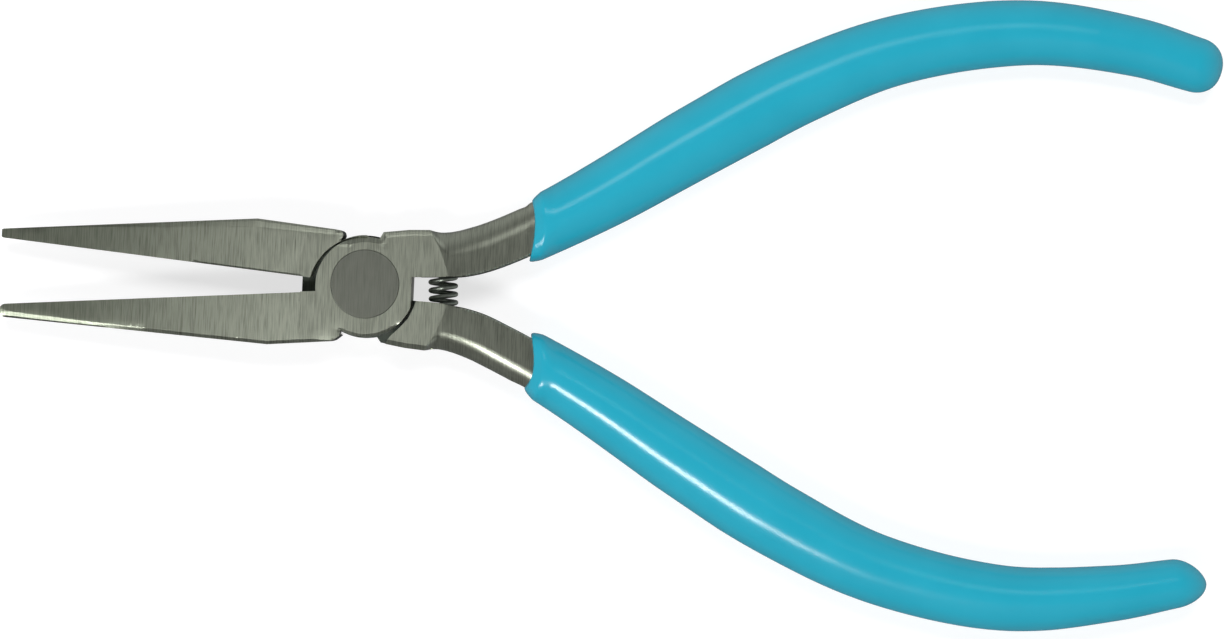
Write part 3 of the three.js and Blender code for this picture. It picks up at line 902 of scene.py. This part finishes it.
def pale_floor():
    """White paper that gives off some light of its own, so that the shadows on it stay pale."""
    made, nodes, links, shader, where = new_material("floor_paper")
    grain = noise(nodes, links, where, (900, 900, 900))
    paper = tint(nodes, links, grain, (0.36, 0.36, 0.365), (0.37, 0.37, 0.375))
    links.new(paper, shader.inputs["Base Color"])
    shader.inputs["Emission Color"].default_value = (1, 1, 1, 1)
    shader.inputs["Emission Strength"].default_value = 0.7
    shader.inputs["Roughness"].default_value = 0.9
    shader.inputs["Specular IOR Level"].default_value = 0.1
    return made


# ---------------------------------------------------------------- floor, light and camera


def floor():
    """A wide sheet just under the tool. The steel doesn't mirror it."""
    size, level = 3.0, -0.02
    points = [(x * size / MM, y * size / MM, level) for x, y in ((-1, -1), (1, -1), (1, 1), (-1, 1))]
    piece = make_object("floor", points, [(0, 1, 2, 3)], pale_floor())
    piece.visible_glossy = False


def area_light(name, place, target, size, energy, mirrored=True):
    """A lamp that the gloss shows only if it is mirrored."""
    data = bpy.data.lights.new(name, "AREA")
    data.shape, data.size, data.size_y = "RECTANGLE", *size
    data.energy = energy
    lamp = bpy.data.objects.new(name, data)
    lamp.location = place
    lamp.rotation_euler = (Vector(target) - Vector(place)).to_track_quat("-Z", "Y").to_euler()
    lamp.visible_glossy = mirrored
    bpy.context.scene.collection.objects.link(lamp)


def world():
    """A dim ceiling with one soft patch overhead. The walls are paler, but for the one at -Y."""
    made = bpy.data.worlds.new("studio")
    made.use_nodes = True
    nodes, links = made.node_tree.nodes, made.node_tree.links
    lean, patch_edge, patch_core = (math.radians(degrees) for degrees in (6.5, 14, 4))
    toward = nodes.new("ShaderNodeVectorMath")
    toward.operation = "DOT_PRODUCT"
    toward.inputs[1].default_value = (-math.sin(lean), 0, math.cos(lean))
    where = nodes.new("ShaderNodeTexCoord").outputs["Generated"]
    links.new(where, toward.inputs[0])
    patch = nodes.new("ShaderNodeMapRange")
    patch.interpolation_type = "SMOOTHSTEP"
    patch.inputs["From Min"].default_value = math.cos(patch_edge)
    patch.inputs["From Max"].default_value = math.cos(patch_core)
    patch.inputs["To Min"].default_value = 0.07
    patch.inputs["To Max"].default_value = 0.1
    links.new(toward.outputs["Value"], patch.inputs["Value"])
    apart = nodes.new("ShaderNodeSeparateXYZ")
    links.new(where, apart.inputs["Vector"])
    walls = spread(nodes, links, apart.outputs["Z"], 0.08, 0, 0.2, 0.62)
    pale_side = spread(nodes, links, apart.outputs["Y"], 0, 0.22, 0.3, 0.9)
    either_end = nodes.new("ShaderNodeMath")
    either_end.operation = "ABSOLUTE"
    links.new(apart.outputs["X"], either_end.inputs[0])
    pale_ends = spread(nodes, links, either_end.outputs[0], 0, 0.3, 0.35, 0.85)
    walls = combine(nodes, links, combine(nodes, links, walls, pale_side, 1), pale_ends, 1)
    background = nodes["Background"]
    background.inputs["Color"].default_value = (0.98, 0.99, 1.0, 1)
    links.new(combine(nodes, links, patch.outputs["Result"], walls, 1), background.inputs["Strength"])
    bpy.context.scene.world = made


def lights():
    """Two soft lamps that light the colours, and three small ones that the gloss mirrors."""
    middle = (0.035, 0, 0)
    area_light("key", (0.05, 0.25, 0.58), middle, (0.3, 0.16), 2.5, mirrored=False)
    area_light("fill", (0.05, -0.4, 0.4), middle, (0.7, 0.5), 1.0, mirrored=False)
    area_light("glint", (-0.128, -0.276, 0.63), middle, (0.14, 0.14), 1.8)
    area_light("lip_glint", (-0.29, -0.23, 0.51), middle, (0.1, 0.1), 0.35)
    area_light("sheen", (-0.07, 0.22, 0.62), middle, (0.14, 0.14), 0.14)


def camera():
    """Straight above, turned so that the tool lies 2.6 degrees clockwise in the picture."""
    lens, sensor, view_width = 150.0, 36.0, 147.0
    turn = math.radians(2.6)
    centre = (29.63, -2.58)
    data = bpy.data.cameras.new("camera")
    data.lens, data.sensor_width = lens, sensor
    data.clip_start, data.clip_end = 0.01, 20
    made = bpy.data.objects.new("camera", data)
    made.location = (centre[0] * MM, centre[1] * MM, (MID + view_width * lens / sensor) * MM)
    made.rotation_euler = (0, 0, turn)
    bpy.context.scene.collection.objects.link(made)
    bpy.context.scene.camera = made


# ---------------------------------------------------------------- the scene

camera()
steel = brushed_steel("steel_brushed", (0.236, 0.253, 0.202), (0.533, 0.567, 0.463), 0.31)
rivet_steel = brushed_steel("rivet_brushed", (0.175, 0.184, 0.155), (0.245, 0.257, 0.217), 0.35)
# Near-black steel for the recess floors: painted shade, not the steel's own colour.
painted_shade_steel = brushed_steel("steel_lap_painted_shade", (0.05, 0.06, 0.052), (0.08, 0.09, 0.078), 0.5)
steel_half("front", steel, painted_shade_steel)
steel_half("rear", steel, painted_shade_steel)
rivet(rivet_steel)
spring(spring_steel())
grip_vinyl = vinyl()
grip("front", grip_vinyl)
grip("rear", grip_vinyl)
floor()
world()
lights()
bpy.context.scene.view_settings.view_transform = "Standard"
